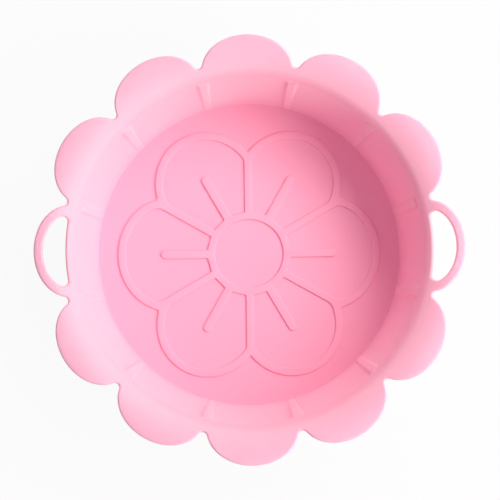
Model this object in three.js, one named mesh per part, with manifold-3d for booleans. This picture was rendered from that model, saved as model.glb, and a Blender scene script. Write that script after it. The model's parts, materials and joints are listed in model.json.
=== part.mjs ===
// Silicone liner for a round air fryer basket: a drafted bowl with a scalloped rim and two loop handles.
// Millimetres, +Z up, origin under the middle of the floor, +X towards the right handle.

import * as THREE from "three";
import { mergeVertices } from "three/addons/utils/BufferGeometryUtils.js";
import Module from "manifold-3d";

// Bowl sizes: the lobes reach past the mouth, and the wall leans in from the mouth to the floor
const OVERALL_ACROSS = 230;
const LOBE_REACH = 20;
const WALL_LEAN = 10;
const WALL_HEIGHT = 49.5;

// Silicone thicknesses
const FLOOR_T = 2.0;
const WALL_T = 1.8;
const RIM_T = 2.0;
const PETAL_T = 2.0;
const HANDLE_T = 2.6;

// Rounds of the bowl section
const BASE_EDGE_R = 1.6;
const FOOT_R = 2.0;
const FOOT_TOE = 0.3;
const FLARE_R = 4.0;
const UNDER_FLARE_R = 2.0;

// Rim: a flange that leaves the wall rising at RIM_RISE and bends over to TIP_RISE at the tips of its lobes
const RIM_RISE = THREE.MathUtils.degToRad(30);
const TIP_RISE = THREE.MathUtils.degToRad(-7);
const LOBE_COUNT = 12;
const LOBE_ROOT_LEDGE = 1;
const NOTCH_GAP = 3.5;
const NOTCH_LEDGE = 5.3;
const HINGE_LEDGE = 3.3;
const HINGE_GAP = 0.3;
const LOBE_GAP = 0.5;

// Handles: the outline of a petal with a band of even width left round the finger gap
const HANDLE_BAND = 5.0;

// Wedge ribs inside the wall, one under each notch
const RIB_WIDTH_FOOT = 4.8;
const RIB_WIDTH_TOP = 7.6;
const RIB_PROUD_FOOT = 0.9;
const RIB_PROUD_TOP = 2.2;
const RIB_TOP_DROP = 4.0;
const RIB_GAP = 0.3;

// Raised flower web on the floor
const FLOWER_PETALS = 6;
const FLOWER_MARGIN = 10;
const FLOWER_NOTCH = 15;
const FLOWER_CORNER_R = 7.0;
const FLOWER_MID_CORNER_R = 1.5;
const RING_R = 21.4;
const STAMEN_REACH = 50;
const WEB_WIDTH = 4.2;
const WEB_HEIGHT = 1.0;
const WEB_DRAFT = 0.4;

// Fineness of the curves
const LATHE_STEPS = 72;
const ROUND_STEPS = 4;
const LOBE_STEPS = 10;
const FLANGE_STEPS = 5;
const PETAL_ARC_STEPS = 6;
const RING_STEPS = 36;
const MERGE_TOLERANCE = 1e-5;

const SILICONE_PINK = 0xf3a3b4;
const SILICONE_ROUGHNESS = 0.5;

// Derived places
const TIP_R = OVERALL_ACROSS / 2;
const MOUTH_R = TIP_R - LOBE_REACH;
const FLOOR_R = MOUTH_R - WALL_LEAN;
const DRAFT = Math.atan2(WALL_LEAN, WALL_HEIGHT - FLOOR_T);
const WALL_SPAN = WALL_T / Math.cos(DRAFT);
const RIM_DROP = RIM_T / Math.cos(RIM_RISE);
const NOTCH_R = MOUTH_R + NOTCH_LEDGE;
const RIM_CUT = MOUTH_R + HINGE_LEDGE;
const SECTOR = (2 * Math.PI) / LOBE_COUNT;
const LOBE_HALF_WIDTH = RIM_CUT * Math.tan(SECTOR / 2) - NOTCH_GAP / 2;
const LOBE_X = MOUTH_R + LOBE_ROOT_LEDGE;
const QUARTER_TURN = Math.PI / 2;
const OUTSIDE = 2 * OVERALL_ACROSS;

const wasm = await Module();
wasm.setup();

// Conversions between three.js geometry and solids for cutting

function solidOf(geometry) {
  const bare = geometry.clone();
  bare.deleteAttribute("normal");
  bare.deleteAttribute("uv");
  const merged = mergeVertices(bare, MERGE_TOLERANCE);
  const mesh = new wasm.Mesh({
    numProp: 3,
    vertProperties: merged.attributes.position.array,
    triVerts: Uint32Array.from(merged.index.array),
  });
  return new wasm.Manifold(mesh);
}

function geometryOf(solid) {
  const mesh = solid.getMesh();
  const geometry = new THREE.BufferGeometry();
  geometry.setAttribute("position", new THREE.BufferAttribute(mesh.vertProperties, mesh.numProp));
  geometry.setIndex(new THREE.BufferAttribute(mesh.triVerts, 1));
  geometry.computeVertexNormals();
  return geometry;
}

function siliconeMesh(name, geometry) {
  const material = new THREE.MeshStandardMaterial({
    color: SILICONE_PINK,
    roughness: SILICONE_ROUGHNESS,
    metalness: 0,
  });
  const mesh = new THREE.Mesh(geometry, material);
  mesh.name = name;
  return mesh;
}

// Sections: corners are [radius, height, round], and a round is limited by its shorter side

function roundedOutline(corners) {
  const points = [];
  const count = corners.length;
  corners.forEach(([x, y, round], index) => {
    const here = new THREE.Vector2(x, y);
    if (round === 0) {
      points.push(here);
      return;
    }
    const [beforeX, beforeY] = corners[(index + count - 1) % count];
    const [afterX, afterY] = corners[(index + 1) % count];
    const before = new THREE.Vector2(beforeX, beforeY).sub(here);
    const after = new THREE.Vector2(afterX, afterY).sub(here);
    const halfAngle = Math.acos(before.dot(after) / (before.length() * after.length())) / 2;
    const longest = Math.min(before.length(), after.length()) / 2;
    const radius = Math.min(round, longest * Math.tan(halfAngle));
    const middle = before.clone().normalize().add(after.clone().normalize()).normalize();
    const centre = middle.multiplyScalar(radius / Math.sin(halfAngle)).add(here);
    const first = before.setLength(radius / Math.tan(halfAngle)).add(here).sub(centre);
    const last = after.setLength(radius / Math.tan(halfAngle)).add(here).sub(centre);
    const sweep = Math.atan2(first.cross(last), first.dot(last));
    for (let step = 0; step <= ROUND_STEPS; step += 1) {
      const turned = first.clone().rotateAround(new THREE.Vector2(), (sweep * step) / ROUND_STEPS);
      points.push(turned.add(centre));
    }
  });
  return points;
}

function turnedSolid(points) {
  const geometry = new THREE.LatheGeometry(points, LATHE_STEPS);
  geometry.rotateX(QUARTER_TURN);
  return geometry;
}

function turnedRing(corners) {
  const points = roundedOutline(corners);
  points.push(points[0].clone());
  return turnedSolid(points);
}

function wallInnerR(z) {
  return FLOOR_R + (z - FLOOR_T) * Math.tan(DRAFT);
}

function rimTopZ(r) {
  return WALL_HEIGHT + (r - MOUTH_R) * Math.tan(RIM_RISE);
}

// Floor: a flat round plate with a rounded lower edge

function floorGeometry() {
  const edgeR = wallInnerR(FLOOR_T) + WALL_SPAN;
  const baseR = wallInnerR(0) + WALL_SPAN;
  const points = roundedOutline([
    [0, 0, 0],
    [baseR, 0, BASE_EDGE_R],
    [edgeR, FLOOR_T, 0],
    [0, FLOOR_T, 0],
  ]);
  return turnedSolid(points);
}

// Side wall: a drafted tube with a fillet at its foot and a flared top that ends at the hinges of the lobes

function sideWallGeometry() {
  const toeR = FLOOR_R - FOOT_R;
  const toeZ = FLOOR_T + FOOT_TOE;
  const outerFootR = wallInnerR(FLOOR_T) + WALL_SPAN;
  const slopeGap = 1 / Math.tan(DRAFT) - Math.tan(RIM_RISE);
  const outerLineZ = FLOOR_T - outerFootR / Math.tan(DRAFT);
  const underLineZ = rimTopZ(0) - RIM_DROP;
  const underR = (underLineZ - outerLineZ) / slopeGap;
  const underZ = rimTopZ(underR) - RIM_DROP;
  return turnedRing([
    [toeR, FLOOR_T, 0],
    [outerFootR, FLOOR_T, 0],
    [underR, underZ, UNDER_FLARE_R],
    [RIM_CUT, rimTopZ(RIM_CUT) - RIM_DROP, 0],
    [RIM_CUT, rimTopZ(RIM_CUT), 0],
    [MOUTH_R, WALL_HEIGHT, FLARE_R],
    [wallInnerR(toeZ), toeZ, FOOT_R],
    [toeR, toeZ, 0],
  ]);
}

// Wall rib: a wedge that widens and stands prouder towards its top, seated on the drafted wall

function wallRibGeometry() {
  const footZ = FLOOR_T + FOOT_R + FOOT_TOE;
  const topZ = WALL_HEIGHT - RIB_TOP_DROP;
  const behind = WALL_T;
  const wedge = new THREE.BoxGeometry(1, 1, 1);
  const corners = wedge.attributes.position;
  for (let index = 0; index < corners.count; index += 1) {
    const isTop = corners.getZ(index) > 0;
    const isFront = corners.getX(index) < 0;
    const z = isTop ? topZ : footZ;
    const proud = isTop ? RIB_PROUD_TOP : RIB_PROUD_FOOT;
    const width = isTop ? RIB_WIDTH_TOP : RIB_WIDTH_FOOT;
    const x = isFront ? wallInnerR(z) - proud : wallInnerR(z) + behind;
    corners.setXYZ(index, x, Math.sign(corners.getY(index)) * (width / 2), z);
  }
  const seatSpan = RIB_GAP / Math.cos(DRAFT);
  const reachIn = FLOOR_R / 2;
  const inside = turnedRing([
    [reachIn, 0, 0],
    [wallInnerR(0) - seatSpan, 0, 0],
    [wallInnerR(WALL_HEIGHT) - seatSpan, WALL_HEIGHT, 0],
    [reachIn, WALL_HEIGHT, 0],
  ]);
  inside.rotateZ(SECTOR / 2);
  return geometryOf(solidOf(wedge).intersect(solidOf(inside)));
}

// Lobes of the rim: sectors of a turned flange with a half-round root, trimmed to a scalloped outline

function arcPoints(x, y, radius, start, end, clockwise, steps) {
  const arc = new THREE.EllipseCurve(x, y, radius, radius, start, end, clockwise);
  return arc.getPoints(steps);
}

function flangeSolid(thickness) {
  const half = thickness / 2;
  const rootR = RIM_CUT + HINGE_GAP + half;
  const rootZ = rimTopZ(rootR) - RIM_DROP / 2;
  const bendR = (TIP_R - rootR) / (Math.sin(RIM_RISE) - Math.sin(TIP_RISE));
  const bendX = rootR + bendR * Math.sin(RIM_RISE);
  const bendZ = rootZ - bendR * Math.cos(RIM_RISE);
  const rootTurn = QUARTER_TURN + RIM_RISE;
  const tipTurn = QUARTER_TURN + TIP_RISE - thickness / bendR;
  const under = arcPoints(bendX, bendZ, bendR - half, rootTurn, tipTurn, true, FLANGE_STEPS);
  const top = arcPoints(bendX, bendZ, bendR + half, tipTurn, rootTurn, false, FLANGE_STEPS);
  const root = arcPoints(rootR, rootZ, half, rootTurn, rootTurn + Math.PI, false, ROUND_STEPS);
  const section = [...under, ...top, ...root.slice(1, -1), under[0].clone()];
  return solidOf(turnedSolid(section));
}

function prismOf(outline) {
  const prism = new THREE.ExtrudeGeometry(outline, {
    depth: OUTSIDE,
    steps: 1,
    bevelEnabled: false,
    curveSegments: LOBE_STEPS,
  });
  return solidOf(prism);
}

function lobePrism(inset) {
  const backX = Math.min(LOBE_X, RIM_CUT);
  const halfWidth = LOBE_HALF_WIDTH - inset;
  const outline = new THREE.Shape();
  outline.moveTo(backX, -halfWidth);
  outline.absellipse(
    LOBE_X, 0, TIP_R - LOBE_X - inset, halfWidth, -QUARTER_TURN, QUARTER_TURN, false, 0);
  outline.lineTo(backX, halfWidth);
  return prismOf(outline);
}

function sectorPrism() {
  const apexX = LOBE_GAP / 2 / Math.sin(SECTOR / 2);
  const halfReach = (OUTSIDE - apexX) * Math.tan(SECTOR / 2);
  const outline = new THREE.Shape();
  outline.moveTo(apexX, 0);
  outline.lineTo(OUTSIDE, -halfReach);
  outline.lineTo(OUTSIDE, halfReach);
  return prismOf(outline);
}

function lobeSolid(thickness) {
  const ledge = new THREE.CylinderGeometry(NOTCH_R, NOTCH_R, 2 * OUTSIDE, LATHE_STEPS);
  ledge.rotateX(QUARTER_TURN);
  const scallop = lobePrism(0).add(solidOf(ledge));
  return flangeSolid(thickness).intersect(sectorPrism()).intersect(scallop);
}

function petalGeometry() {
  return geometryOf(lobeSolid(PETAL_T));
}

function handleGeometry() {
  return geometryOf(lobeSolid(HANDLE_T).subtract(lobePrism(HANDLE_BAND)));
}

// Flower web: the arc of a petal runs through its tip and through the notches on either side of it, and every
// contour takes an inset, so that the ribs narrow from the floor to their crowns

const FLOWER_SECTOR = (2 * Math.PI) / FLOWER_PETALS;
const FLOWER_REACH = FLOOR_R - FLOWER_MARGIN;
const FLOWER_NOTCH_R = FLOWER_REACH - FLOWER_NOTCH;
const FLOWER_LOBE_X = (FLOWER_REACH ** 2 - FLOWER_NOTCH_R ** 2)
  / (2 * (FLOWER_REACH - FLOWER_NOTCH_R * Math.cos(FLOWER_SECTOR / 2)));
const FLOWER_LOBE_R = FLOWER_REACH - FLOWER_LOBE_X;

function alongDivider(distance, side) {
  const turn = FLOWER_SECTOR / 2;
  const x = distance * Math.cos(turn) + side * Math.sin(turn);
  const y = distance * Math.sin(turn) - side * Math.cos(turn);
  return new THREE.Vector2(x, y);
}

function dividerMeetsCircle(side, centreX, radius) {
  const turn = FLOWER_SECTOR / 2;
  const half = centreX * Math.cos(turn);
  const rest = side ** 2 - 2 * centreX * side * Math.sin(turn) + centreX ** 2 - radius ** 2;
  return half + Math.sqrt(half ** 2 - rest);
}

function halfCell(inset, cornerR) {
  const halfWidth = WEB_WIDTH / 2 - inset;
  const ringOuterR = RING_R + halfWidth;
  const arcR = FLOWER_LOBE_R - WEB_WIDTH + inset;
  const tipX = STAMEN_REACH - WEB_WIDTH / 2;
  const stamenTurn = Math.asin(halfWidth / ringOuterR);
  const cornerSide = halfWidth + cornerR;
  const cornerAt = dividerMeetsCircle(cornerSide, FLOWER_LOBE_X, arcR - cornerR);
  const corner = alongDivider(cornerAt, cornerSide);
  const cornerStart = FLOWER_SECTOR / 2 + QUARTER_TURN;
  const cornerEnd = Math.atan2(corner.y, corner.x - FLOWER_LOBE_X);
  const ringEnd = FLOWER_SECTOR / 2 - stamenTurn;
  const stamenTip = arcPoints(tipX, 0, halfWidth, 0, QUARTER_TURN, false, ROUND_STEPS);
  const ringSide = arcPoints(0, 0, ringOuterR, stamenTurn, ringEnd, false, ROUND_STEPS);
  const fillet = arcPoints(corner.x, corner.y, cornerR, cornerStart, cornerEnd, true, ROUND_STEPS);
  const lobe = arcPoints(FLOWER_LOBE_X, 0, arcR, cornerEnd, 0, true, PETAL_ARC_STEPS);
  return [...stamenTip, ...ringSide, ...fillet, ...lobe.slice(1)];
}

function mirrored(points) {
  return points.map((point) => new THREE.Vector2(point.x, -point.y));
}

function turnedBy(points, turn) {
  return points.map((point) => point.clone().rotateAround(new THREE.Vector2(), turn));
}

// The corners next to the dividers that point along Y are tighter than the others
function cornerRadius(dividerTurn) {
  const alongY = Math.abs(Math.cos(dividerTurn)) < MERGE_TOLERANCE;
  return alongY ? FLOWER_MID_CORNER_R : FLOWER_CORNER_R;
}

function flowerCell(inset, turn) {
  const far = halfCell(inset, cornerRadius(turn + FLOWER_SECTOR / 2));
  const near = mirrored(halfCell(inset, cornerRadius(turn - FLOWER_SECTOR / 2)));
  const loop = [...far, ...near.reverse().slice(1, -1)];
  return turnedBy(loop, turn);
}

function flowerOutline(inset) {
  const arcR = FLOWER_LOBE_R - inset;
  const notch = alongDivider(dividerMeetsCircle(0, FLOWER_LOBE_X, arcR), 0);
  const notchTurn = Math.atan2(notch.y, notch.x - FLOWER_LOBE_X);
  const arc = arcPoints(FLOWER_LOBE_X, 0, arcR, -notchTurn, notchTurn, false, 2 * PETAL_ARC_STEPS);
  const points = [];
  for (let index = 0; index < FLOWER_PETALS; index += 1) {
    points.push(...turnedBy(arc.slice(1), index * FLOWER_SECTOR));
  }
  return points;
}

function flowerLoops(inset) {
  const innerR = RING_R - WEB_WIDTH / 2 + inset;
  const loops = [flowerOutline(inset)];
  const hub = arcPoints(0, 0, innerR, 0, 2 * Math.PI, true, RING_STEPS);
  loops.push(hub.slice(1));
  for (let index = 0; index < FLOWER_PETALS; index += 1) {
    loops.push(flowerCell(inset, index * FLOWER_SECTOR));
  }
  return loops;
}

function flowerGeometry() {
  const baseLoops = flowerLoops(0);
  const crownLoops = flowerLoops(WEB_DRAFT);
  const basePoints = baseLoops.flat();
  const crownPoints = crownLoops.flat();
  const count = basePoints.length;
  const positions = [];
  basePoints.forEach((point) => positions.push(point.x, point.y, FLOOR_T));
  crownPoints.forEach((point) => positions.push(point.x, point.y, FLOOR_T + WEB_HEIGHT));
  const triangles = [];
  THREE.ShapeUtils.triangulateShape(baseLoops[0], baseLoops.slice(1)).forEach(([a, b, c]) => {
    triangles.push(a, c, b);
    triangles.push(a + count, b + count, c + count);
  });
  let first = 0;
  baseLoops.forEach((loop) => {
    loop.forEach((_, index) => {
      const here = first + index;
      const next = first + ((index + 1) % loop.length);
      triangles.push(here, next, next + count);
      triangles.push(here, next + count, here + count);
    });
    first += loop.length;
  });
  const geometry = new THREE.BufferGeometry();
  geometry.setAttribute("position", new THREE.Float32BufferAttribute(positions, 3));
  geometry.setIndex(triangles);
  geometry.computeVertexNormals();
  return geometry;
}

// Assembly

function numbered(name, number) {
  return `${name}_${String(number).padStart(2, "0")}`;
}

const liner = new THREE.Group();
liner.add(siliconeMesh("floor", floorGeometry()));
liner.add(siliconeMesh("floor_flower", flowerGeometry()));
liner.add(siliconeMesh("side_wall", sideWallGeometry()));

const ribGeometry = wallRibGeometry();
const plainLobe = petalGeometry();
const openLobe = handleGeometry();
const LEFT_HANDLE_AT = Math.floor(LOBE_COUNT / 2);
let petalNumber = 0;
for (let index = 0; index < LOBE_COUNT; index += 1) {
  const lobe = new THREE.Group();
  lobe.rotation.z = index * SECTOR;
  if (index === 0) {
    lobe.add(siliconeMesh("handle_right", openLobe));
  } else if (index === LEFT_HANDLE_AT) {
    lobe.add(siliconeMesh("handle_left", openLobe));
  } else {
    petalNumber += 1;
    lobe.add(siliconeMesh(numbered("rim_petal", petalNumber), plainLobe));
  }
  liner.add(lobe);
  const rib = new THREE.Group();
  rib.rotation.z = (index + 1 / 2) * SECTOR;
  rib.add(siliconeMesh(numbered("wall_rib", index + 1), ribGeometry));
  liner.add(rib);
}

export default liner;
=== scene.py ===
# Looks of the silicone liner: one smooth moulded skin over the solids, the flower relief
# inside it, a soft lamp from the right and a white stage. Metres, in the frame of the solids.

import json
import math

import bmesh
import bpy
import numpy as np
from mathutils import Matrix, Quaternion, Vector
from mathutils.geometry import tessellate_polygon


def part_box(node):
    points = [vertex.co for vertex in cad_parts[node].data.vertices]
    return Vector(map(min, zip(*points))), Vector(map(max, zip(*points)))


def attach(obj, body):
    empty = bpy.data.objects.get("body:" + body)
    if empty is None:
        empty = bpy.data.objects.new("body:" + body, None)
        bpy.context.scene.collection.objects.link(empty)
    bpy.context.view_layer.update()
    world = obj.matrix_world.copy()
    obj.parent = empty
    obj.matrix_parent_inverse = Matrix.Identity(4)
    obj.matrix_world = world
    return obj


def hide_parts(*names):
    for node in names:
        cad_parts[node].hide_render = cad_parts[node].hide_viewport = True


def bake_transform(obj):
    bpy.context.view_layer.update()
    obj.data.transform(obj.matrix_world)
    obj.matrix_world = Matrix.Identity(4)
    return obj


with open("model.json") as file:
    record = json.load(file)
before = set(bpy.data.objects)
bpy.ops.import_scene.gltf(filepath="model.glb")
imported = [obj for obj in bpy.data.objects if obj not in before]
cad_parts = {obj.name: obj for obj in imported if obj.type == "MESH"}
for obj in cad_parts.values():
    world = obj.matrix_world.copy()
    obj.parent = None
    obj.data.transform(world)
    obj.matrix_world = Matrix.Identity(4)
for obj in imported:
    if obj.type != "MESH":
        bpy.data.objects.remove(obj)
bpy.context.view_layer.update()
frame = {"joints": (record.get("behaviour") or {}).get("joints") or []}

MM = 0.001

# Sizes and places read from the frame
JOINT_OF = {joint["child"]: joint for joint in frame["joints"]}
TIP_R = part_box("handle_right")[1].x
FLOOR_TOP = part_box("floor")[1].z
WEB_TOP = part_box("floor_flower")[1].z
FLOWER_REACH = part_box("floor_flower")[1].x
PETAL_HINGE = Vector(JOINT_OF["petal_01"]["pos_m"])
HINGE_R = PETAL_HINGE.xy.length
HINGE_Z = PETAL_HINGE.z

# Bowl section
LOBE_REACH = 20 * MM
WALL_LEAN = 9.7 * MM
SHEET_T = 2.0 * MM
HANDLE_T = 2.6 * MM
BASE_EDGE_R = 1.6 * MM
FOOT_R = 0.5 * MM
FLOOR_EDGE = 4.0 * MM
RIM_RISE = math.radians(30)
TIP_RISE = math.radians(-7)
MOUTH_R = TIP_R - LOBE_REACH
FLOOR_R = MOUTH_R - WALL_LEAN

# Rim: the middle of its thickness flares out of the wall, rises straight to the hinges
# and then follows a wide arc to the tips of the lobes. The wall runs from the floor's edge
# to where it touches the flare.
SEAM_R = 97.4 * MM
FLARE_END_R = 98.5 * MM
FLARE_R = 8.0 * MM
FLARE_X = FLARE_END_R + FLARE_R * math.sin(RIM_RISE)
FLARE_Z = HINGE_Z - (HINGE_R - FLARE_END_R) * math.tan(RIM_RISE) - FLARE_R * math.cos(RIM_RISE)
FLARE_INNER_R = FLARE_R + SHEET_T / 2
FLARE_AWAY = math.hypot(FLARE_X - FLOOR_R, FLARE_Z - FLOOR_TOP)
FLARE_ABOVE = math.atan2(FLARE_Z - FLOOR_TOP, FLARE_X - FLOOR_R)
WALL_RISE = FLARE_ABOVE + math.asin(FLARE_INNER_R / FLARE_AWAY)
DRAFT = math.pi / 2 - WALL_RISE
BEND_R = (TIP_R - HINGE_R) / (math.sin(RIM_RISE) - math.sin(TIP_RISE))
BEND_X = HINGE_R + BEND_R * math.sin(RIM_RISE)
BEND_Z = HINGE_Z - BEND_R * math.cos(RIM_RISE)

# Lobes
LOBE_COUNT = 12
SECTOR = 2 * math.pi / LOBE_COUNT
LOBE_PAST_MOUTH = 1.0 * MM
LOBE_X = MOUTH_R + LOBE_PAST_MOUTH
LOBE_LENGTH = TIP_R - LOBE_X
LOBE_HALF_WIDTH = 24.6 * MM
NOTCH_FILLET = 2.5 * MM
HANDLE_BAND = 5.0 * MM
HANDLE_TAPER = 0.4
HOLE_CORNER_R = 2.5 * MM
LIP_R = 98.6 * MM

# Wedge ribs of the wall, under the notches
RIB_FOOT_Z = 4.0 * MM
RIB_TOP_Z = 44.2 * MM
RIB_ROUND = 3.2 * MM
RIB_HALF_FOOT = 2.4 * MM
RIB_HALF_TOP = 4.0 * MM
RIB_PROUD_FOOT = 0.5 * MM
RIB_PROUD_TOP = 1.3 * MM
RIB_SHOULDER = 0.55
RIB_FADE_START = math.radians(3)

# Flower relief: side petals on the X axis and diagonal ones between them
RING_R = 21.5 * MM
RING_WIDTH = 4.1 * MM
ARC_WIDTH = 4.1 * MM
DIVIDER_WIDTH = 4.0 * MM
STAMEN_WIDTH = 4.6 * MM
SIDE_PETAL = {
    "reach": FLOWER_REACH - 1.0 * MM,
    "along": 29.1 * MM,
    "across": 31.9 * MM,
    "skew": 0.0,
    "stamen": 49.7 * MM,
}
DIAGONAL_PETAL = {
    "reach": FLOWER_REACH + 0.75 * MM,
    "along": 30.5 * MM,
    "across": 29.3 * MM,
    "skew": math.radians(0.4),
    "stamen": 50.3 * MM,
}
CELL_CORNER_R = 7.0 * MM
CELL_MID_CORNER_R = 1.6 * MM
HUB_CORNER_R = 0.9 * MM
NOTCH_CORNER_R = 1.8 * MM
NOTCH_MID_CORNER_R = 0.5 * MM
RELIEF_SINK = 0.02 * MM
RELIEF_FOOT_R = 0.1 * MM
RELIEF_CROWN_R = 0.28 * MM
RELIEF_DRAFT = 0.05 * MM

# Fineness of the skin
EDGE_STEPS = 8
ROUND_STEPS = 6
WALL_ROWS = 26
RIB_END_ROWS = 10
ABOVE_RIB_ROWS = 4
OUTSIDE_ROWS = 8
LIP_ROWS = 5
PETAL_ROWS = 20
PETAL_CROWDING = 1.5
LOFT_STEPS = 44
DENSE = 400
BISECT_STEPS = 60
WELD = 0.004 * MM
SEAM_TURN = 0.02
ANGLE_SLACK = 1e-6


# Curves and sections

def unit(vectors):
    return vectors / np.linalg.norm(vectors, axis=-1, keepdims=True)


def direction(angle):
    """Unit vector in plan at that angle from the X axis."""
    return np.stack([np.cos(angle), np.sin(angle)], -1)


def bearing(vector):
    """Angle of a vector in plan from the X axis."""
    return math.atan2(vector[1], vector[0])


def sweep_between(first, last):
    """Signed angle from one vector in plan to another."""
    return math.atan2(first[0] * last[1] - first[1] * last[0], first @ last)


def far_root(a, b, c):
    """The larger root of a x^2 + 2 b x + c."""
    return (-b + math.sqrt(b * b - a * c)) / a


def smoothstep(x):
    t = np.clip(x, 0, 1)
    return t * t * (3 - 2 * t)


def bisect(function, low, high):
    """The place between low and high where the function changes its sign."""
    rises = function(high) > 0
    for _ in range(BISECT_STEPS):
        middle = (low + high) / 2
        if (function(middle) > 0) == rises:
            high = middle
        else:
            low = middle
    return (low + high) / 2


def arc(centre, radius, start, end, steps):
    turn = np.linspace(start, end, steps + 1)
    return np.stack([centre[0] + radius * np.cos(turn), centre[1] + radius * np.sin(turn)], -1)


def rounded_corner(before, corner, after, radius, steps):
    """Points of the arc that rounds a corner of a path."""
    corner = np.array(corner, float)
    back = unit(np.array(before, float) - corner)
    ahead = unit(np.array(after, float) - corner)
    half = math.acos(float(np.clip(back @ ahead, -1, 1))) / 2
    centre = corner + unit(back + ahead) * radius / math.sin(half)
    first = corner + back * radius / math.tan(half) - centre
    last = corner + ahead * radius / math.tan(half) - centre
    start = bearing(first)
    return arc(centre, radius, start, start + sweep_between(first, last), steps)


def resampled(points, values, count):
    """The path and what goes with its points, at even distances along it."""
    length = np.concatenate([[0], np.cumsum(np.linalg.norm(np.diff(points, axis=0), axis=1))])
    places = np.linspace(0, length[-1], count)
    columns = np.concatenate([points, values], axis=1)
    return np.stack([np.interp(places, length, column) for column in columns.T], -1)


# Middle surface of the rim

def rim_slope(r):
    flare = np.arcsin(np.clip((FLARE_X - r) / FLARE_R, -1, 1))
    bend = np.arcsin(np.clip((BEND_X - r) / BEND_R, -1, 1))
    return np.where(r < FLARE_END_R, flare, np.where(r < HINGE_R, RIM_RISE, bend))


def rim_middle(r):
    flare = FLARE_Z + np.sqrt(np.maximum(FLARE_R ** 2 - (r - FLARE_X) ** 2, 0))
    line = HINGE_Z + (r - HINGE_R) * math.tan(RIM_RISE)
    bend = BEND_Z + np.sqrt(np.maximum(BEND_R ** 2 - (r - BEND_X) ** 2, 0))
    return np.where(r < FLARE_END_R, flare, np.where(r < HINGE_R, line, bend))


def rim_frame(plan):
    """Point on the middle surface, its upward normal and the direction away from the axis."""
    r = np.linalg.norm(plan, axis=-1, keepdims=True)
    away = plan / r
    slope = rim_slope(r)
    normal = np.concatenate([-np.sin(slope) * away, np.cos(slope)], -1)
    middle = np.concatenate([plan, rim_middle(r)], -1)
    return middle, normal, away


def rim_face(plan, half):
    """Points of the rim's upper face, or of its lower face where half is negative."""
    middle, normal, _ = rim_frame(plan)
    return middle + normal * np.asarray(half)[..., None]


def rim_edge(plan, outward, half):
    """Rows of the half-round edge, from the upper face round to the lower one."""
    middle, normal, away = rim_frame(plan)
    slope = rim_slope(np.linalg.norm(plan, axis=-1, keepdims=True))
    climb = np.tan(slope) * np.sum(outward * away, -1, keepdims=True)
    sideways = unit(np.concatenate([outward, climb], -1))
    reach = np.asarray(half)[..., None]
    turns = np.linspace(0, math.pi, EDGE_STEPS + 1)
    offsets = [sideways * math.sin(turn) + normal * math.cos(turn) for turn in turns]
    return np.stack([middle + reach * offset for offset in offsets])


# Outline of a lobe, in the frame of a lobe that points along X

def lobe_point(turn, inset=0.0):
    along = LOBE_LENGTH - inset
    across = LOBE_HALF_WIDTH - inset
    point = np.stack([LOBE_X + along * np.cos(turn), across * np.sin(turn)], -1)
    normal = unit(np.stack([np.cos(turn) / along, np.sin(turn) / across], -1))
    return point, normal


def beyond_bisector(turn):
    point, normal = lobe_point(np.array(turn))
    x, y = point + NOTCH_FILLET * normal
    return y * math.cos(SECTOR / 2) - x * math.sin(SECTOR / 2)


NOTCH_TURN = bisect(beyond_bisector, 0.0, math.pi / 2)
NOTCH_TOUCH, NOTCH_TOUCH_NORMAL = lobe_point(np.array(NOTCH_TURN))
NOTCH_CENTRE = NOTCH_TOUCH + NOTCH_FILLET * NOTCH_TOUCH_NORMAL
NOTCH_CENTRE_R = float(np.linalg.norm(NOTCH_CENTRE))
NOTCH_TOUCH_TURN = bearing(NOTCH_TOUCH)
BISECTOR = direction(SECTOR / 2)


def outline_at(angle):
    """Point and normal of the lobe's outline on the ray at that angle, which is 0 or more."""
    ray = direction(angle)
    if angle > NOTCH_TOUCH_TURN:
        off = SECTOR / 2 - angle
        reach = NOTCH_CENTRE_R * math.cos(off)
        reach -= math.sqrt(NOTCH_FILLET ** 2 - (NOTCH_CENTRE_R * math.sin(off)) ** 2)
        point = reach * ray
        return point, (NOTCH_CENTRE - point) / NOTCH_FILLET
    a = (ray[0] / LOBE_LENGTH) ** 2 + (ray[1] / LOBE_HALF_WIDTH) ** 2
    b = -ray[0] * LOBE_X / LOBE_LENGTH ** 2
    c = (LOBE_X / LOBE_LENGTH) ** 2 - 1
    point = far_root(a, b, c) * ray
    normal = np.array([(point[0] - LOBE_X) / LOBE_LENGTH ** 2, point[1] / LOBE_HALF_WIDTH ** 2])
    return point, unit(normal)


# Finger gap of a handle: an ellipse inside the lobe's outline, closed by the lip of the rim

def hole_corner_reach(turn):
    point, _ = lobe_point(np.array(turn), HANDLE_BAND + HOLE_CORNER_R)
    return LIP_R + HOLE_CORNER_R - float(np.linalg.norm(point))


HOLE_TURN = bisect(hole_corner_reach, 0.0, math.pi / 2)
HOLE_CORNER, HOLE_CORNER_NORMAL = lobe_point(np.array(HOLE_TURN), HANDLE_BAND + HOLE_CORNER_R)
LIP_TURN = bearing(HOLE_CORNER)


# Columns of the skin: close together at the notches and along the edges of the wall ribs

RIB_EDGE_START = math.radians(1.05)
RIB_EDGE_END = math.radians(2.5)
RIB_EDGE_COLUMNS = 14
NOTCH_COLUMNS = 7
FLANK_COLUMNS = 13
FLANK_CROWDING = 1.4
AT_NOTCH = np.linspace(0, RIB_EDGE_START, NOTCH_COLUMNS + 1)[:-1]
AT_RIB_EDGE = np.linspace(RIB_EDGE_START, RIB_EDGE_END, RIB_EDGE_COLUMNS)
FLANK_SHARES = np.linspace(0, 1, FLANK_COLUMNS + 1)[1:] ** FLANK_CROWDING
AT_FLANK = RIB_EDGE_END + (SECTOR / 2 - RIB_EDGE_END) * FLANK_SHARES
FROM_NOTCH = np.concatenate([AT_NOTCH, AT_RIB_EDGE, AT_FLANK])


def is_handle(index):
    """Whether the lobe at that place round the rim is a handle: the first and the opposite one."""
    return index % (LOBE_COUNT // 2) == 0


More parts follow.
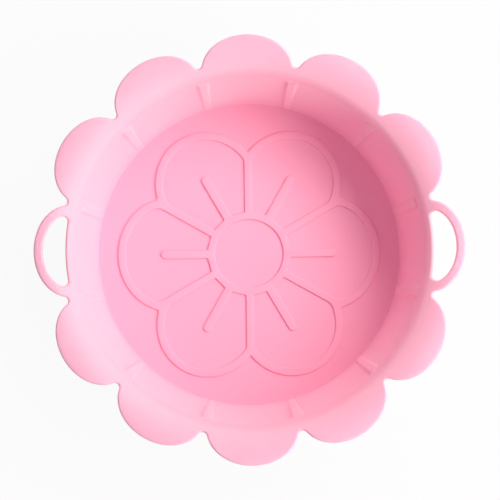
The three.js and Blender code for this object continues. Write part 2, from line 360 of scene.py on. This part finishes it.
def lobe_columns(for_handle):
    """Angles of the columns across one lobe, from notch to notch."""
    half = SECTOR / 2 - FROM_NOTCH
    if for_handle:
        half[np.argmin(np.abs(half - LIP_TURN))] = LIP_TURN
    return np.concatenate([-half, half[-2::-1]])


# Collecting the faces of one piece

class Skin:
    def __init__(self):
        self.points = []
        self.faces = []
        self.count = 0

    def add(self, points):
        first = self.count
        self.points.append(points.reshape(-1, 3))
        self.count += self.points[-1].shape[0]
        return first + np.arange(self.points[-1].shape[0]).reshape(points.shape[:-1])

    def grid(self, points, closed=False):
        """Quads between rows of points. They face out where columns run to the left of rows."""
        index = self.add(points)
        wrapped = np.concatenate([index, index[:, :1]], axis=1) if closed else index
        corners = [wrapped[:-1, :-1], wrapped[1:, :-1], wrapped[1:, 1:], wrapped[:-1, 1:]]
        self.faces.extend(np.stack(corners, -1).reshape(-1, 4).tolist())
        return index

    def fill(self, loop):
        self.faces.append([int(i) for i in loop])

    def build(self, name, turn=0.0):
        mesh = bpy.data.meshes.new(name)
        mesh.from_pydata(np.concatenate(self.points).tolist(), [], self.faces)
        mesh.transform(Matrix.Rotation(turn, 4, "Z"))
        shape = bmesh.new()
        shape.from_mesh(mesh)
        bmesh.ops.remove_doubles(shape, verts=shape.verts, dist=WELD)
        shape.to_mesh(mesh)
        shape.free()
        mesh.shade_smooth()
        piece = bpy.data.objects.new(name, mesh)
        bpy.context.scene.collection.objects.link(piece)
        return piece


# Bowl: floor, wall with its ribs, flare and the lips inside the handles

def wall_inner_r(z):
    """Radius of the wall's inner face, which runs into the flare without a crease."""
    return FLOOR_R + (z - FLOOR_TOP) * math.tan(DRAFT)


def wall_outer_r(z):
    return wall_inner_r(z) + SHEET_T / math.cos(DRAFT)


def flare_point(slope, half):
    """Point of the flare where it has that slope: on its lower face where half is negative."""
    reach = FLARE_R + half
    return np.array([FLARE_X - reach * math.sin(slope), FLARE_Z + reach * math.cos(slope)])


def flare_rows(half):
    """The flare from the wall to the seam, where close rows keep the shading even."""
    seam_rise = float(rim_slope(np.array(SEAM_R)))
    turning = np.linspace(WALL_RISE, seam_rise, 2 * ROUND_STEPS)[:-1]
    slopes = [*turning, seam_rise + SEAM_TURN, seam_rise]
    return np.array([flare_point(slope, half) for slope in slopes])


def upper_path():
    floor_r = wall_inner_r(FLOOR_TOP)
    floor_start = (floor_r - FLOOR_EDGE, FLOOR_TOP)
    flare = flare_rows(SHEET_T / 2)
    foot_arc = rounded_corner(floor_start, (floor_r, FLOOR_TOP), flare[0], FOOT_R, ROUND_STEPS)
    rib_start = RIB_TOP_Z - RIB_ROUND
    rising = np.linspace(foot_arc[-1, 1], rib_start, WALL_ROWS)[1:]
    rounding = rib_start + RIB_ROUND * np.sin(np.linspace(0, math.pi / 2, RIB_END_ROWS))[1:]
    above = np.linspace(RIB_TOP_Z, flare[0, 1], ABOVE_RIB_ROWS)[1:-1]
    heights = np.concatenate([rising, rounding, above])
    wall = np.stack([wall_inner_r(heights), heights], -1)
    return np.concatenate([[floor_start], foot_arc, wall, flare])


def lower_path():
    flare = flare_rows(-SHEET_T / 2)[::-1]
    base = (wall_outer_r(0), 0.0)
    base_end = (base[0] - FLOOR_EDGE, 0.0)
    base_arc = rounded_corner(flare[-1], base, base_end, BASE_EDGE_R, ROUND_STEPS)
    heights = np.linspace(flare[-1, 1], base_arc[0, 1], OUTSIDE_ROWS)[1:-1]
    wall = np.stack([wall_outer_r(heights), heights], -1)
    return np.concatenate([flare, wall, base_arc, [base_end]])


def rib_half_width(z):
    share = np.clip((z - RIB_FOOT_Z) / (RIB_TOP_Z - RIB_FOOT_Z), 0, 1)
    return RIB_HALF_FOOT + share * (RIB_HALF_TOP - RIB_HALF_FOOT)


def rib_proud(z):
    share = np.clip((z - RIB_FOOT_Z) / (RIB_TOP_Z - RIB_FOOT_Z), 0, 1)
    proud = RIB_PROUD_FOOT + share * (RIB_PROUD_TOP - RIB_PROUD_FOOT)
    past_round = np.clip((z - RIB_TOP_Z + RIB_ROUND) / RIB_ROUND, 0, 1)
    below_foot = np.clip((RIB_FOOT_Z - z) / (RIB_FOOT_Z - FLOOR_TOP), 0, 1)
    return proud * np.sqrt(1 - past_round ** 2) * (1 - below_foot)


def ribbed_grid(path, angles, from_notch):
    """The turned section with its ribs, whose edges the nearby columns follow down the wall."""
    r = path[:, :1]
    z = path[:, 1:]
    top_angle = RIB_HALF_TOP / wall_inner_r(RIB_TOP_Z)
    narrow = 1 - np.minimum(rib_half_width(z) / wall_inner_r(z) / top_angle, 1)
    fade = 1 - smoothstep((np.abs(from_notch) - RIB_FADE_START) / (SECTOR / 2 - RIB_FADE_START))
    shifted = np.abs(from_notch) * (1 - narrow * fade)
    theta = angles + np.sign(from_notch) * (shifted - np.abs(from_notch))
    across = shifted * r / rib_half_width(z)
    radius = r - rib_proud(z) * smoothstep((1 - across) / RIB_SHOULDER)
    height = np.broadcast_to(z, theta.shape)
    return np.stack([radius * np.cos(theta), radius * np.sin(theta), height], -1)


def all_columns():
    """Angles of the bowl's columns all round and their signed distance from the nearest notch."""
    angles = []
    from_notch = []
    for index in range(LOBE_COUNT):
        columns = lobe_columns(is_handle(index))[:-1]
        angles.append(index * SECTOR + columns)
        from_notch.append(np.where(columns < 0, columns + SECTOR / 2, columns - SECTOR / 2))
    return np.concatenate(angles), np.concatenate(from_notch)


def turned(points, turn):
    return points @ np.array(Matrix.Rotation(turn, 3, "Z")).T


def lathed(path, angles):
    """The path of radii and heights, turned to those angles about the axis."""
    r, z = path[:, :1], path[:, 1:]
    heights = np.broadcast_to(z, (len(path), len(angles)))
    return np.stack([r * np.cos(angles), r * np.sin(angles), heights], -1)


def root_line(columns):
    """Plan of the line where a handle leaves the rim, and how far across its band each point is."""
    inner = (LIP_R - SHEET_T / 2) * direction(LIP_TURN)
    outer = (NOTCH_CENTRE_R - NOTCH_FILLET - SHEET_T / 2) * BISECTOR
    step = outer - inner
    plan = []
    share = []
    for angle in np.abs(columns):
        ray = direction(angle)
        if angle <= LIP_TURN:
            share.append(0.0)
            plan.append((LIP_R - SHEET_T / 2) * ray)
        else:
            along = (inner[0] * ray[1] - inner[1] * ray[0]) / (step[1] * ray[0] - step[0] * ray[1])
            share.append(along)
            plan.append(inner + along * step)
    plan = np.array(plan)
    plan[:, 1] *= np.where(columns < 0, -1, 1)
    return plan, np.array(share)


def add_handle_lip(skin, turn):
    columns = lobe_columns(True)
    rays = direction(columns)
    line, _ = root_line(columns)
    shares = np.linspace(0, 1, LIP_ROWS)[:, None, None]
    plan = SEAM_R * rays * (1 - shares) + line * shares
    half = np.full(plan.shape[:-1], SHEET_T / 2)
    skin.grid(turned(rim_face(plan, half), turn))
    skin.grid(turned(rim_face(plan[::-1], -half), turn))
    is_lip = np.abs(columns) <= LIP_TURN + ANGLE_SLACK
    edge = rim_edge(line[is_lip], rays[is_lip], half[0, is_lip])
    skin.grid(turned(edge, turn))


def bowl_skin():
    skin = Skin()
    angles, from_notch = all_columns()
    upper = skin.grid(ribbed_grid(upper_path(), angles, from_notch), closed=True)
    lower = skin.grid(lathed(lower_path(), angles), closed=True)
    skin.fill(upper[0])
    skin.fill(lower[-1][::-1])
    for turn in (0.0, math.pi):
        add_handle_lip(skin, turn)
    return skin.build("bowl_skin")


# Petals and handles

def petal_skin(name, turn):
    skin = Skin()
    columns = lobe_columns(False)
    rays = direction(columns)
    found = [outline_at(abs(angle)) for angle in columns]
    flip = np.stack([np.ones(len(columns)), np.where(columns < 0, -1, 1)], -1)
    outline = np.array([point for point, _ in found]) * flip
    normal = np.array([n for _, n in found]) * flip
    inset = outline - normal * SHEET_T / 2
    shares = (np.linspace(0, 1, PETAL_ROWS) ** PETAL_CROWDING)[:, None, None]
    plan = SEAM_R * rays * (1 - shares) + inset * shares
    half = np.full(plan.shape[:-1], SHEET_T / 2)
    upper = rim_face(plan, half)
    edge = rim_edge(inset, normal, half[0])
    lower = rim_face(plan[::-1], -half)
    skin.grid(np.concatenate([upper, edge[1:], lower[1:]]))
    return skin.build(name, turn)


def mirrored_back(points):
    """The half path mirrored to the other side of the X axis and joined to itself."""
    flip = np.array([1, -1, 1, -1])
    return np.concatenate([points[:0:-1] * flip, points])


def hole_contour():
    turn = np.linspace(0, HOLE_TURN, DENSE)
    side, side_normal = lobe_point(turn, HANDLE_BAND)
    start = bearing(HOLE_CORNER_NORMAL)
    corner = arc(HOLE_CORNER, HOLE_CORNER_R, start, LIP_TURN + math.pi, DENSE)
    corner_normal = (HOLE_CORNER - corner) / HOLE_CORNER_R
    points = np.concatenate([side, corner])
    normals = np.concatenate([-side_normal, corner_normal])
    return mirrored_back(resampled(points, normals, LOFT_STEPS))


def band_contour():
    turn = np.linspace(0, NOTCH_TURN, DENSE)
    side, side_normal = lobe_point(turn)
    start = bearing(-NOTCH_TOUCH_NORMAL)
    end = SECTOR / 2 - math.pi
    fillet = arc(NOTCH_CENTRE, NOTCH_FILLET, start, end, DENSE)
    fillet_normal = (NOTCH_CENTRE - fillet) / NOTCH_FILLET
    points = np.concatenate([side, fillet])
    normals = np.concatenate([side_normal, fillet_normal])
    return mirrored_back(resampled(points, normals, LOFT_STEPS))


def handle_skin(name, turn):
    skin = Skin()
    inner = hole_contour()
    outer = band_contour()
    from_root = np.minimum(np.arange(len(inner)), np.arange(len(inner))[::-1])
    thicken = smoothstep(from_root / (LOFT_STEPS * HANDLE_TAPER))
    half = SHEET_T / 2 + thicken * (HANDLE_T - SHEET_T) / 2
    inner_normal = unit(inner[:, 2:])
    outer_normal = unit(outer[:, 2:])
    inner_plan = inner[:, :2] - inner_normal * half[:, None]
    outer_plan = outer[:, :2] - outer_normal * half[:, None]
    columns = lobe_columns(True)
    _, share = root_line(columns)
    across = np.unique(share)[:, None, None]
    plan = inner_plan * (1 - across) + outer_plan * across
    halves = np.broadcast_to(half, plan.shape[:-1])
    upper = rim_face(plan, halves)
    lower = rim_face(plan[::-1], -halves)
    outer_edge = rim_edge(outer_plan, outer_normal, half)
    inner_edge = rim_edge(inner_plan, inner_normal, half)[::-1]
    skin.grid(np.concatenate([upper, outer_edge[1:], lower[1:], inner_edge[1:]]))
    return skin.build(name, turn)


# Flower relief: contours at several insets, lofted from the floor to the crown of the web

FLOWER_PETALS = 6
PETALS_LEANING_BACK = (1, 4)
PETAL_TURN = 2 * math.pi / FLOWER_PETALS
ARC_STEPS = 28
CORNER_STEPS = 8
FOOT_STEPS = 3
CROWN_STEPS = 4
NOTCH_SEARCH = (0.5, 2.2)


def flower_petal(index):
    """Sizes of a petal: the diagonal ones lean a little towards the X axis."""
    if index % (FLOWER_PETALS // 2) == 0:
        return SIDE_PETAL
    sign = -1 if index in PETALS_LEANING_BACK else 1
    return dict(DIAGONAL_PETAL, skew=DIAGONAL_PETAL["skew"] * sign)


def rotated(points, turn):
    """Points in plan, turned about the centre."""
    c, s = math.cos(turn), math.sin(turn)
    return points @ np.array([[c, s], [-s, c]])


def ellipse_of(petal, grow):
    """Centre, half-sizes and turn of a petal's outline, grown by that much."""
    centre = (petal["reach"] - petal["along"]) * direction(petal["skew"])
    sizes = np.array([petal["along"] + grow, petal["across"] + grow])
    return centre, sizes, petal["skew"]


def ellipse_points(ellipse, turn):
    centre, sizes, skew = ellipse
    turn = np.asarray(turn)
    local = np.stack([sizes[0] * np.cos(turn), sizes[1] * np.sin(turn)], -1)
    return centre + rotated(local, skew)


def ellipse_normals(ellipse, turn):
    _, sizes, skew = ellipse
    turn = np.asarray(turn)
    local = np.stack([np.cos(turn) / sizes[0], np.sin(turn) / sizes[1]], -1)
    return rotated(unit(local), skew)


def half_cell(petal, inset, corner_r):
    """Half of a petal's floor, from the stamen's tip by the hub and divider to the petal's tip."""
    stamen_half = STAMEN_WIDTH / 2 - inset
    divider_half = DIVIDER_WIDTH / 2 - inset
    hub_r = RING_R + RING_WIDTH / 2 - inset
    tip_x = petal["stamen"] - STAMEN_WIDTH / 2
    tip = arc((tip_x, 0), stamen_half, 0, math.pi / 2, CORNER_STEPS)
    divider = direction(PETAL_TURN / 2)
    aside = np.array([divider[1], -divider[0]])
    stamen_foot = np.array([math.sqrt(hub_r ** 2 - stamen_half ** 2), stamen_half])
    divider_foot = math.sqrt(hub_r ** 2 - divider_half ** 2) * divider + divider_half * aside
    grow = inset - ARC_WIDTH
    inner = ellipse_of(petal, grow - corner_r)
    centre, sizes, skew = inner
    beside = (divider_half + corner_r) * aside
    start = rotated(beside - centre, -skew) / sizes
    step = rotated(divider, -skew) / sizes
    reach = far_root(step @ step, start @ step, start @ start - 1)
    corner = beside + reach * divider
    turn = bearing(start + reach * step)
    fillet_start = PETAL_TURN / 2 + math.pi / 2
    fillet_end = bearing(ellipse_normals(inner, turn))
    fillet = arc(corner, corner_r, fillet_start, fillet_end, CORNER_STEPS)
    hub_start = rounded_corner(tip[-1], stamen_foot, divider_foot, HUB_CORNER_R, CORNER_STEPS)
    hub_end = rounded_corner(stamen_foot, divider_foot, fillet[0], HUB_CORNER_R, CORNER_STEPS)
    side = ellipse_points(ellipse_of(petal, grow), np.linspace(turn, 0, ARC_STEPS)[1:])
    return np.concatenate([tip, hub_start, hub_end, fillet, side])


def is_vertical(divider_turn):
    return abs(math.cos(divider_turn)) < ANGLE_SLACK


def flower_cell(index, inset):
    """Outline of a petal's floor, clockwise."""
    petal = flower_petal(index)
    flipped = dict(petal, skew=-petal["skew"])
    turn = index * PETAL_TURN
    far_r = CELL_MID_CORNER_R if is_vertical(turn + PETAL_TURN / 2) else CELL_CORNER_R
    near_r = CELL_MID_CORNER_R if is_vertical(turn - PETAL_TURN / 2) else CELL_CORNER_R
    far = half_cell(petal, inset, far_r)
    near = half_cell(flipped, inset, near_r) * np.array([1, -1])
    return rotated(np.concatenate([far, near[-2:0:-1]]), turn)


def outer_notch(index, inset):
    """Turns at which a notch's fillet touches its two petals, then its centre and radius."""
    corner_r = NOTCH_MID_CORNER_R if is_vertical((index + 0.5) * PETAL_TURN) else NOTCH_CORNER_R
    here = ellipse_of(flower_petal(index), corner_r - inset)
    following = flower_petal((index + 1) % FLOWER_PETALS)
    centre, sizes, skew = ellipse_of(following, corner_r - inset)

    def local_there(turn):
        point = rotated(ellipse_points(here, turn), -PETAL_TURN)
        return rotated(point - centre, -skew) / sizes

    def depth_there(turn):
        return 1 - float(np.linalg.norm(local_there(turn)))

    touch = bisect(depth_there, *NOTCH_SEARCH)
    return touch, bearing(local_there(touch)), ellipse_points(here, touch), corner_r


def flower_outline(inset):
    """Outer outline of the flower, anticlockwise."""
    points = []
    for index in range(FLOWER_PETALS):
        _, side_start, _, _ = outer_notch((index - 1) % FLOWER_PETALS, inset)
        side_end, following_start, centre, corner_r = outer_notch(index, inset)
        petal = ellipse_of(flower_petal(index), -inset)
        following = ellipse_of(flower_petal((index + 1) % FLOWER_PETALS), 0)
        side = ellipse_points(petal, np.linspace(side_start, side_end, 2 * ARC_STEPS)[1:-1])
        first = -ellipse_normals(petal, side_end)
        last = -rotated(ellipse_normals(following, following_start), PETAL_TURN)
        start = bearing(first)
        end = start + sweep_between(first, last)
        fillet = arc(centre, corner_r, start, end, CORNER_STEPS)
        points.append(rotated(np.concatenate([side, fillet]), index * PETAL_TURN))
    return np.concatenate(points)


def flower_loops(inset):
    hub = arc((0, 0), RING_R - RING_WIDTH / 2 + inset, 2 * math.pi, 0, 4 * ARC_STEPS)[1:]
    cells = [flower_cell(index, inset) for index in range(FLOWER_PETALS)]
    return [flower_outline(inset), hub, *cells]


def relief_section():
    """Insets and heights of the rows up the web: foot fillet, side and rounded crown."""
    height = WEB_TOP - FLOOR_TOP
    foot_centre = (-RELIEF_FOOT_R, RELIEF_FOOT_R - RELIEF_SINK)
    foot = arc(foot_centre, RELIEF_FOOT_R, -math.pi / 2, 0, FOOT_STEPS)
    crown_centre = (RELIEF_DRAFT + RELIEF_CROWN_R, height - RELIEF_CROWN_R)
    crown = arc(crown_centre, RELIEF_CROWN_R, math.pi, math.pi / 2, CROWN_STEPS)
    return np.concatenate([foot, crown])


def signed_area(loop):
    x, y = loop[:, 0], loop[:, 1]
    return float(np.sum(x * np.roll(y, -1) - y * np.roll(x, -1))) / 2


def at_height(loop, z):
    return np.column_stack([loop, np.full(len(loop), z)])


def flower_relief():
    """The web: its sides loop by loop, the outer outline first, and the crown between them."""
    skin = Skin()
    section = relief_section()
    stacks = [flower_loops(inset) for inset, _ in section]
    crown_loops = []
    for place in range(len(stacks[0])):
        rows = np.stack([
            at_height(loops[place], FLOOR_TOP + z) for loops, (_, z) in zip(stacks, section)])
        is_outline = place == 0
        is_anticlockwise = signed_area(stacks[0][place]) > 0
        if is_anticlockwise != is_outline:
            rows = rows[:, ::-1]
        index = skin.grid(rows[::-1], closed=True)
        crown_loops.append((index[0], rows[-1]))
    polygons = [[Vector(point) for point in points] for _, points in crown_loops]
    numbers = np.concatenate([index for index, _ in crown_loops])
    places = np.concatenate([points for _, points in crown_loops])
    for triangle in tessellate_polygon(polygons):
        a, b, c = places[list(triangle)]
        faces_up = (b[0] - a[0]) * (c[1] - a[1]) - (b[1] - a[1]) * (c[0] - a[0]) > 0
        skin.fill(numbers[list(triangle if faces_up else triangle[::-1])])
    return skin.build("flower_relief")


# Material: matte moulded silicone

# Lit and shaded copies of one pink: the floor's deeper pink is painted shade, and the lighter pink
# of the wall and rim is painted light through the thin sheets.
SHADED_FLOOR_PINK = (0.985, 0.415, 0.555)
LIT_SHEET_PINK = (0.985, 0.482, 0.584)
LIT_SHEET_START = FLOOR_TOP
LIT_SHEET_END = 14 * MM
GLOW_ABOVE_FLOOR = (2 * FLOOR_TOP, 4 * FLOOR_TOP)
GLOW_INSIDE_SEAM = (SEAM_R - 7 * MM, SEAM_R - 0.4 * MM)
GLOW_OUTSIDE_SEAM = (SEAM_R + 0.8 * MM, SEAM_R + 9 * MM)
MOTTLE = (0.995, 0.94, 0.955)
MOTTLE_SCALE = 38
MOTTLE_DETAIL = 3
MATTING_SCALE = 160
MATTING_DETAIL = 4
ROUGHNESS = (0.57, 0.69)
GRAIN_SCALE = 2600
GRAIN_DETAIL = 2
GRAIN_DEPTH = 0.03 * MM
GRAIN_STRENGTH = 0.25
SPECULAR_LEVEL = 0.62
SHEEN_WEIGHT = 0.68
SHEEN_TINT = (1.0, 0.86, 0.93)
SHEEN_ROUGHNESS = 0.57
GLOW_WEIGHT = 0.55
GLOW_DEPTH = 6.3 * MM
GLOW_RADII = (1.0, 0.34, 0.52)
PLAN_AXES = (1, 1, 0)


def noise(nodes, links, place, scale, detail):
    node = nodes.new("ShaderNodeTexNoise")
    node.inputs["Scale"].default_value = scale
    node.inputs["Detail"].default_value = detail
    links.new(place.outputs["Object"], node.inputs["Vector"])
    return node.outputs["Fac"]


def ramp(nodes, links, value, start, end, low, high):
    node = nodes.new("ShaderNodeMapRange")
    node.interpolation_type = "SMOOTHSTEP"
    node.inputs["From Min"].default_value = start
    node.inputs["From Max"].default_value = end
    node.inputs["To Min"].default_value = low
    node.inputs["To Max"].default_value = high
    links.new(value, node.inputs["Value"])
    return node.outputs["Result"]


def combine(nodes, links, operation, first, second):
    node = nodes.new("ShaderNodeMath")
    node.operation = operation
    links.new(first, node.inputs[0])
    links.new(second, node.inputs[1])
    return node.outputs["Value"]


def glow_weight(nodes, links, place, height):
    """How much light passes through: none in the floor and at the roots of the lobes."""
    flat = nodes.new("ShaderNodeVectorMath")
    flat.operation = "MULTIPLY"
    flat.inputs[1].default_value = PLAN_AXES
    links.new(place.outputs["Object"], flat.inputs[0])
    radius = nodes.new("ShaderNodeVectorMath")
    radius.operation = "LENGTH"
    links.new(flat.outputs["Vector"], radius.inputs[0])

    above_floor = ramp(nodes, links, height, *GLOW_ABOVE_FLOOR, 0, GLOW_WEIGHT)
    inside = ramp(nodes, links, radius.outputs["Value"], *GLOW_INSIDE_SEAM, 1, 0)
    outside = ramp(nodes, links, radius.outputs["Value"], *GLOW_OUTSIDE_SEAM, 0, 1)
    away_from_seam = combine(nodes, links, "ADD", inside, outside)
    return combine(nodes, links, "MULTIPLY", above_floor, away_from_seam)


def silicone_material():
    material = bpy.data.materials.new("silicone")
    material.use_nodes = True
    nodes = material.node_tree.nodes
    links = material.node_tree.links
    shader = nodes["Principled BSDF"]
    shader.inputs["Specular IOR Level"].default_value = SPECULAR_LEVEL
    shader.inputs["Sheen Weight"].default_value = SHEEN_WEIGHT
    shader.inputs["Sheen Roughness"].default_value = SHEEN_ROUGHNESS
    shader.inputs["Sheen Tint"].default_value = (*SHEEN_TINT, 1)
    shader.inputs["Subsurface Scale"].default_value = GLOW_DEPTH
    shader.inputs["Subsurface Radius"].default_value = GLOW_RADII
    place = nodes.new("ShaderNodeTexCoord")
    split = nodes.new("ShaderNodeSeparateXYZ")
    links.new(place.outputs["Object"], split.inputs["Vector"])
    height = split.outputs["Z"]

    links.new(glow_weight(nodes, links, place, height), shader.inputs["Subsurface Weight"])

    # Painted shade and light: the floor and the foot of the wall take the deeper pink, and the wall
    # above and the rim take the lighter one.
    painted_shade_and_light = nodes.new("ShaderNodeMix")
    painted_shade_and_light.data_type = "RGBA"
    painted_shade_and_light.inputs["A"].default_value = (*SHADED_FLOOR_PINK, 1)
    painted_shade_and_light.inputs["B"].default_value = (*LIT_SHEET_PINK, 1)
    links.new(ramp(nodes, links, height, LIT_SHEET_START, LIT_SHEET_END, 0, 1), painted_shade_and_light.inputs["Factor"])

    mottle = noise(nodes, links, place, MOTTLE_SCALE, MOTTLE_DETAIL)
    colour = nodes.new("ShaderNodeMix")
    colour.data_type = "RGBA"
    colour.blend_type = "MULTIPLY"
    colour.inputs["B"].default_value = (*MOTTLE, 1)
    links.new(painted_shade_and_light.outputs["Result"], colour.inputs["A"])
    links.new(mottle, colour.inputs["Factor"])
    links.new(colour.outputs["Result"], shader.inputs["Base Color"])

    matting = noise(nodes, links, place, MATTING_SCALE, MATTING_DETAIL)
    roughness = nodes.new("ShaderNodeMapRange")
    roughness.inputs["To Min"].default_value = ROUGHNESS[0]
    roughness.inputs["To Max"].default_value = ROUGHNESS[1]
    links.new(matting, roughness.inputs["Value"])
    links.new(roughness.outputs["Result"], shader.inputs["Roughness"])

    grain = noise(nodes, links, place, GRAIN_SCALE, GRAIN_DETAIL)
    bump = nodes.new("ShaderNodeBump")
    bump.inputs["Strength"].default_value = GRAIN_STRENGTH
    bump.inputs["Distance"].default_value = GRAIN_DEPTH
    links.new(grain, bump.inputs["Height"])
    links.new(bump.outputs["Normal"], shader.inputs["Normal"])
    return material


# Stage: white floor, surroundings and lamp

STAGE_R = 3.0
STAGE_COVE_R = 0.5
STAGE_HEIGHT = 1.5
STAGE_COLUMNS = 96
STAGE_COVE_STEPS = 12
STAGE_COLOUR = (0.68, 0.68, 0.68, 1)
STAGE_SHADOW = 0.07
AMBIENT = 0.52
AMBIENT_COLOUR = (1.0, 0.75, 0.95, 1)
KEY_DISTANCE = 1.0
KEY_TURN = math.radians(-1.8)
KEY_RISE = math.radians(41.9)
KEY_ROLL = math.radians(24.2)
KEY_POWER = 27
KEY_COLOUR = (1.0, 1.0, 0.94)
KEY_WIDTH = 3.44
KEY_HEIGHT = 0.46


def seen_rays(nodes, links):
    """1 for rays from the camera and for glossy and transmission rays."""
    rays = nodes.new("ShaderNodeLightPath").outputs
    shown = combine(nodes, links, "MAXIMUM", rays["Is Camera Ray"], rays["Is Glossy Ray"])
    return combine(nodes, links, "MAXIMUM", shown, rays["Is Transmission Ray"])


def stage_material():
    """White with a trace of the shadow where it is seen, plain and pale where it bounces light."""
    material = bpy.data.materials.new("stage_white")
    material.use_nodes = True
    nodes = material.node_tree.nodes
    links = material.node_tree.links
    nodes.clear()
    output = nodes.new("ShaderNodeOutputMaterial")
    plain = nodes.new("ShaderNodeBsdfDiffuse")
    plain.inputs["Color"].default_value = STAGE_COLOUR
    glow = nodes.new("ShaderNodeEmission")
    seen = nodes.new("ShaderNodeMixShader")
    seen.inputs["Fac"].default_value = STAGE_SHADOW
    links.new(glow.outputs["Emission"], seen.inputs[1])
    links.new(plain.outputs["BSDF"], seen.inputs[2])
    choice = nodes.new("ShaderNodeMixShader")
    links.new(seen_rays(nodes, links), choice.inputs["Fac"])
    links.new(plain.outputs["BSDF"], choice.inputs[1])
    links.new(seen.outputs["Shader"], choice.inputs[2])
    links.new(choice.outputs["Shader"], output.inputs["Surface"])
    return material


def make_stage():
    """A round white floor that curves up into a low wall all round."""
    cove_centre = (STAGE_R - STAGE_COVE_R, STAGE_COVE_R)
    cove = arc(cove_centre, STAGE_COVE_R, -math.pi / 2, 0, STAGE_COVE_STEPS)
    path = np.concatenate([[[TIP_R, 0]], cove, [[STAGE_R, STAGE_HEIGHT]]])
    turns = np.linspace(0, 2 * math.pi, STAGE_COLUMNS, endpoint=False)
    skin = Skin()
    rows = skin.grid(lathed(path, turns), closed=True)
    skin.fill(rows[0])
    stage = skin.build("stage")
    stage.data.materials.append(stage_material())


def make_world():
    world = bpy.data.worlds.new("surroundings")
    bpy.context.scene.world = world
    world.use_nodes = True
    background = world.node_tree.nodes["Background"]
    background.inputs["Color"].default_value = AMBIENT_COLOUR
    background.inputs["Strength"].default_value = AMBIENT


def make_lamp():
    """One long soft lamp high on the right."""
    data = bpy.data.lights.new("key_lamp", "AREA")
    data.energy = KEY_POWER
    data.color = KEY_COLOUR
    data.shape = "RECTANGLE"
    data.size = KEY_WIDTH
    data.size_y = KEY_HEIGHT
    lamp = bpy.data.objects.new("key_lamp", data)
    bpy.context.scene.collection.objects.link(lamp)
    level = math.cos(KEY_RISE)
    toward = Vector((level * math.cos(KEY_TURN), level * math.sin(KEY_TURN), math.sin(KEY_RISE)))
    lamp.location = Vector((0, 0, FLOOR_TOP)) + KEY_DISTANCE * toward
    facing = toward.to_track_quat("Z", "Y") @ Quaternion((0, 0, 1), KEY_ROLL)
    lamp.rotation_euler = facing.to_euler()


# Camera of the photograph: nearly straight above, a little towards -Y, turned by under a degree
PICTURE = 500
TIP_RADIUS_PX = 216.5
RIM_CENTRE_PX = (250.1, 248.1)
CAMERA_RISE = math.radians(86.7)
CAMERA_SWING = math.radians(0.65)
CAMERA_ROLL = math.radians(0.85)
CAMERA_DISTANCE = 0.8
SENSOR = 36.0


def make_camera():
    data = bpy.data.cameras.new("camera")
    pixel = TIP_R / TIP_RADIUS_PX
    data.sensor_width = SENSOR
    data.lens = SENSOR * CAMERA_DISTANCE / (pixel * PICTURE)
    camera = bpy.data.objects.new("camera", data)
    bpy.context.scene.collection.objects.link(camera)
    rim_z = rim_middle(np.array(BEND_X)) + SHEET_T / 2
    aim = Vector((
        (PICTURE / 2 - RIM_CENTRE_PX[0]) * pixel,
        (RIM_CENTRE_PX[1] - PICTURE / 2) * pixel,
        float(rim_z),
    ))
    back = Vector((-math.sin(CAMERA_SWING), -math.cos(CAMERA_RISE), math.sin(CAMERA_RISE)))
    back.normalize()
    right = Vector((math.cos(CAMERA_ROLL), -math.sin(CAMERA_ROLL), 0))
    right = (right - right.dot(back) * back).normalized()
    up = back.cross(right)
    facing = Matrix((right, up, back)).transposed().to_4x4()
    camera.matrix_world = Matrix.Translation(aim + CAMERA_DISTANCE * back) @ facing
    bpy.context.scene.camera = camera


# Assembly

def dress(piece, material):
    piece.data.materials.append(material)


def bend_with(piece):
    """Bakes the piece's place into its mesh; nothing here bends it."""
    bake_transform(piece)


def main():
    silicone = silicone_material()

    bowl = bowl_skin()
    ribs = [f"wall_rib_{n:02d}" for n in range(1, LOBE_COUNT + 1)]
    dress(bowl, silicone)
    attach(bowl, "bowl")
    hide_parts("floor", "side_wall", *ribs)

    relief = flower_relief()
    dress(relief, silicone)
    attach(relief, "bowl")
    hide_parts("floor_flower")

    number = 0
    for index in range(LOBE_COUNT):
        turn = index * SECTOR
        if is_handle(index):
            side = "right" if index == 0 else "left"
            handle = handle_skin(f"handle_skin_{side}", turn)
            dress(handle, silicone)
            bend_with(handle)
            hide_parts(f"handle_{side}")
        else:
            number += 1
            petal = petal_skin(f"petal_skin_{number:02d}", turn)
            dress(petal, silicone)
            bend_with(petal)
            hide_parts(f"rim_petal_{number:02d}")

    make_stage()
    make_world()
    make_lamp()
    make_camera()
    bpy.context.scene.view_settings.view_transform = "Standard"


main()
